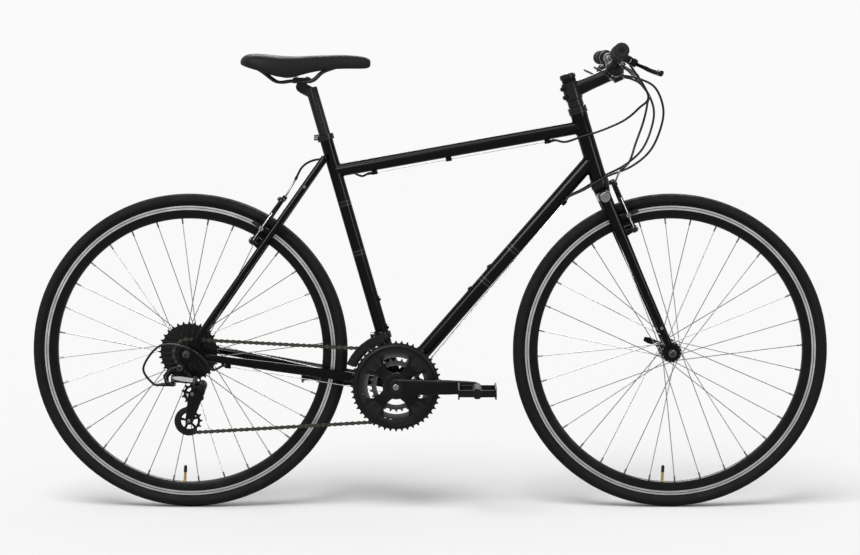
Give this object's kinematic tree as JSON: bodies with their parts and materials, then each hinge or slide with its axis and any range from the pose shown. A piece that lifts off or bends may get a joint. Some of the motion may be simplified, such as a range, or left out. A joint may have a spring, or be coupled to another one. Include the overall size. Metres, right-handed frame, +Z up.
{
  "type": "flat-bar hybrid bicycle",
  "caption": "Rigid hybrid bicycle with a flat riser bar, linear-pull rim brakes, derailleur gears, a chain guard ring and quick-release wheels.",
  "frame": {"origin": "on the ground, midway between the two axles, in the bicycle's middle plane", "axes": "+X to the front, +Y to the rider's left, +Z up; the drive side is at -Y"},
  "size_m": [1.7382, 0.635, 1.009],
  "materials": {
    "gloss_paint": "gloss black paint",
    "satin_metal": "satin black anodised",
    "silver": "bare, brushed",
    "rim": "black with machined brake tracks",
    "steel": "dark steel",
    "tyre": "matt",
    "inner_tube": "matt",
    "grip_rubber": "matt dark grey",
    "black_plastic": "matt",
    "cable": "satin",
    "saddle_cover": "matt dark grey cover over foam"
  },
  "bodies": {
    "main_frame": {"frame": "gloss_paint", "headset_lower_cup": "satin_metal", "headset_upper_cup": "satin_metal", "bottom_bracket": "steel", "seat_clamp": "satin_metal", "front_derailleur_body": "satin_metal", "derailleur_b_knuckle": "satin_metal", "rear_axle": "silver", "rear_brake_cable": "cable", "rear_shift_cable": "cable", "front_shift_cable": "cable", "chain": "steel"},
    "steering": {"fork": "gloss_paint", "headset_spacers": "satin_metal", "stem": "satin_metal", "handlebar": "satin_metal", "grip_left": "grip_rubber", "grip_right": "grip_rubber", "shifter_left": "black_plastic", "shifter_right": "black_plastic", "front_axle": "silver", "front_brake_cable": "cable"},
    "front_wheel": {"front_tyre": "tyre", "front_inner_tube": "inner_tube", "front_rim": "rim", "front_hub": "steel"},
    "rear_wheel": {"rear_tyre": "tyre", "rear_inner_tube": "inner_tube", "rear_rim": "rim", "rear_hub": "steel"},
    "freewheel": {"cassette": "steel"},
    "crank": {"crank_spindle": "steel", "crank_arm_right": "satin_metal", "crank_arm_left": "satin_metal", "chainring_large": "black_plastic", "chainring_middle": "steel", "chainring_small": "steel"},
    "right_pedal": {"pedal_right": "black_plastic"},
    "left_pedal": {"pedal_left": "black_plastic"},
    "right_brake_lever": {"brake_lever_right": "satin_metal"},
    "left_brake_lever": {"brake_lever_left": "satin_metal"},
    "right_shift_lever": {"shift_lever_right": "black_plastic"},
    "left_shift_lever": {"shift_lever_left": "black_plastic"},
    "front_left_arm": {"front_brake_arm_left": "satin_metal"},
    "front_right_arm": {"front_brake_arm_right": "satin_metal"},
    "rear_left_arm": {"rear_brake_arm_left": "satin_metal"},
    "rear_right_arm": {"rear_brake_arm_right": "satin_metal"},
    "outer_link": {"derailleur_outer_link": "silver"},
    "inner_link": {"derailleur_inner_link": "satin_metal"},
    "p_knuckle": {"derailleur_p_knuckle": "black_plastic"},
    "cage": {"derailleur_cage": "satin_metal"},
    "upper_pulley": {"guide_pulley": "black_plastic"},
    "lower_pulley": {"tension_pulley": "black_plastic"},
    "front_link": {"front_derailleur_link": "silver"},
    "front_cage": {"front_derailleur_cage": "silver"},
    "post": {"seatpost": "satin_metal"},
    "seat": {"saddle_rails": "steel", "saddle": "saddle_cover"},
    "front_release": {"front_quick_release_lever": "silver"},
    "rear_release": {"rear_quick_release_lever": "silver"}
  },
  "joints": [
    {"name": "steer", "type": "hinge", "parent": "main_frame", "child": "steering", "pos_m": [0.37274, 0, 0.70277], "axis": [-0.2924, 0, 0.9563], "range_deg": [-70, 70], "deforming": ["rear_brake_cable", "rear_shift_cable", "front_shift_cable"]},
    {"name": "front_wheel_spin", "type": "hinge", "parent": "steering", "child": "front_wheel", "pos_m": [0.525, 0, 0.346], "axis": [0, 1, 0], "continuous": true},
    {"name": "rear_wheel_spin", "type": "hinge", "parent": "main_frame", "child": "rear_wheel", "pos_m": [-0.525, 0, 0.346], "axis": [0, 1, 0], "continuous": true},
    {"name": "crank_spin", "type": "hinge", "parent": "main_frame", "child": "crank", "pos_m": [-0.0736, 0, 0.2747], "axis": [0, 1, 0], "continuous": true},
    {"name": "freewheel_spin", "type": "hinge", "parent": "main_frame", "child": "freewheel", "pos_m": [-0.525, 0, 0.346], "axis": [0, 1, 0], "continuous": true},
    {"name": "right_pedal_spin", "type": "hinge", "parent": "crank", "child": "right_pedal", "pos_m": [0.1014, -0.07825, 0.2747], "axis": [0, 1, 0], "continuous": true},
    {"name": "left_pedal_spin", "type": "hinge", "parent": "crank", "child": "left_pedal", "pos_m": [-0.2486, 0.07825, 0.2747], "axis": [0, 1, 0], "continuous": true},
    {"name": "right_lever_squeeze", "type": "hinge", "parent": "steering", "child": "right_brake_lever", "pos_m": [0.42908, -0.156, 0.97127], "axis": [-0.4695, 0, -0.8829], "range_deg": [0, 20], "stiffness_Nm_per_rad": 0.6, "springref_deg": -17.19, "deforming": ["rear_brake_cable"]},
    {"name": "left_lever_squeeze", "type": "hinge", "parent": "steering", "child": "left_brake_lever", "pos_m": [0.42908, 0.156, 0.97127], "axis": [0.4695, 0, 0.8829], "range_deg": [0, 20], "stiffness_Nm_per_rad": 0.6, "springref_deg": -17.19, "deforming": ["front_brake_cable"]},
    {"name": "right_shift_push", "type": "hinge", "parent": "steering", "child": "right_shift_lever", "pos_m": [0.3855, -0.133, 0.94042], "axis": [0.4695, 0, 0.8829], "range_deg": [0, 25], "stiffness_Nm_per_rad": 0.05, "springref_deg": -17.19},
    {"name": "left_shift_push", "type": "hinge", "parent": "steering", "child": "left_shift_lever", "pos_m": [0.3855, 0.133, 0.94042], "axis": [-0.4695, 0, -0.8829], "range_deg": [0, 25], "stiffness_Nm_per_rad": 0.05, "springref_deg": -17.19},
    {"name": "front_left_arm_turn", "type": "hinge", "parent": "steering", "child": "front_left_arm", "pos_m": [0.44209, 0.04, 0.61523], "axis": [0.9175, 0, 0.3977], "range_deg": [0, 2.5], "deforming": ["front_brake_cable"]},
    {"name": "front_right_arm_turn", "type": "hinge", "parent": "steering", "child": "front_right_arm", "pos_m": [0.44209, -0.04, 0.61523], "axis": [-0.9175, 0, -0.3977], "range_deg": [0, 2.5], "deforming": ["front_brake_cable"]},
    {"name": "rear_left_arm_turn", "type": "hinge", "parent": "main_frame", "child": "rear_left_arm", "pos_m": [-0.38391, 0.04, 0.58904], "axis": [0.8188, 0, -0.5741], "range_deg": [0, 2.5], "deforming": ["rear_brake_cable"]},
    {"name": "rear_right_arm_turn", "type": "hinge", "parent": "main_frame", "child": "rear_right_arm", "pos_m": [-0.38391, -0.04, 0.58904], "axis": [-0.8188, 0, 0.5741], "range_deg": [0, 2.5], "deforming": ["rear_brake_cable"]},
    {"name": "derailleur_shift", "type": "hinge", "parent": "main_frame", "child": "outer_link", "pos_m": [-0.5525, -0.0885, 0.295], "axis": [0, 0.4695, 0.8829], "range_deg": [-13, 34], "stiffness_Nm_per_rad": 3, "deforming": ["chain"]},
    {"name": "inner_link_turn", "type": "hinge", "parent": "main_frame", "child": "inner_link", "pos_m": [-0.5525, -0.0715, 0.295], "axis": [0, 0.4695, 0.8829], "range_deg": [-13, 34]},
    {"name": "p_knuckle_turn", "type": "hinge", "parent": "outer_link", "child": "p_knuckle", "pos_m": [-0.506, -0.0885, 0.291], "axis": [0, 0.4695, 0.8829], "range_deg": [-34, 13]},
    {"name": "cage_swing", "type": "hinge", "parent": "p_knuckle", "child": "cage", "pos_m": [-0.493, -0.0602, 0.278], "axis": [0, -1, 0], "range_deg": [-5, 40], "stiffness_Nm_per_rad": 1.5, "deforming": ["chain"]},
    {"name": "guide_pulley_spin", "type": "hinge", "parent": "cage", "child": "upper_pulley", "pos_m": [-0.515, -0.0529, 0.258], "axis": [0, 1, 0], "continuous": true},
    {"name": "tension_pulley_spin", "type": "hinge", "parent": "cage", "child": "lower_pulley", "pos_m": [-0.5224, -0.0529, 0.1991], "axis": [0, 1, 0], "continuous": true},
    {"name": "front_derailleur_shift", "type": "hinge", "parent": "main_frame", "child": "front_link", "pos_m": [-0.12597, -0.0315, 0.38532], "axis": [1, 0, 0], "range_deg": [-20, 20], "stiffness_Nm_per_rad": 1, "deforming": ["chain", "front_shift_cable"]},
    {"name": "front_cage_turn", "type": "hinge", "parent": "front_link", "child": "front_cage", "pos_m": [-0.12597, -0.0315, 0.36432], "axis": [1, 0, 0], "range_deg": [-20, 20]},
    {"name": "seatpost_height", "type": "slide", "parent": "main_frame", "child": "post", "axis": [-0.2756, 0, 0.9613], "range_m": [-0.075, 0.08]},
    {"name": "saddle_tilt", "type": "hinge", "parent": "post", "child": "seat", "pos_m": [-0.27846, 0, 0.93509], "axis": [0, 1, 0], "range_deg": [-15, 15]},
    {"name": "front_release_turn", "type": "hinge", "parent": "steering", "child": "front_release", "pos_m": [0.525, 0.0641, 0.346], "axis": [-0.342, 0, -0.9397], "range_deg": [0, 170]},
    {"name": "rear_release_turn", "type": "hinge", "parent": "main_frame", "child": "rear_release", "pos_m": [-0.525, 0.0821, 0.346], "axis": [-0.8192, 0, -0.5736], "range_deg": [0, 170]}
  ],
  "couplings": [
    {"joint": "freewheel_spin", "follows": "crank_spin", "ratio": 2.5333},
    {"joint": "guide_pulley_spin", "follows": "crank_spin", "ratio": -3.4545},
    {"joint": "tension_pulley_spin", "follows": "crank_spin", "ratio": 2.9231},
    {"joint": "front_left_arm_turn", "follows": "left_lever_squeeze", "ratio": 0.125},
    {"joint": "front_right_arm_turn", "follows": "left_lever_squeeze", "ratio": 0.125},
    {"joint": "rear_left_arm_turn", "follows": "right_lever_squeeze", "ratio": 0.125},
    {"joint": "rear_right_arm_turn", "follows": "right_lever_squeeze", "ratio": 0.125},
    {"joint": "inner_link_turn", "follows": "derailleur_shift", "ratio": 1},
    {"joint": "p_knuckle_turn", "follows": "derailleur_shift", "ratio": -1},
    {"joint": "front_cage_turn", "follows": "front_derailleur_shift", "ratio": -1}
  ]
}
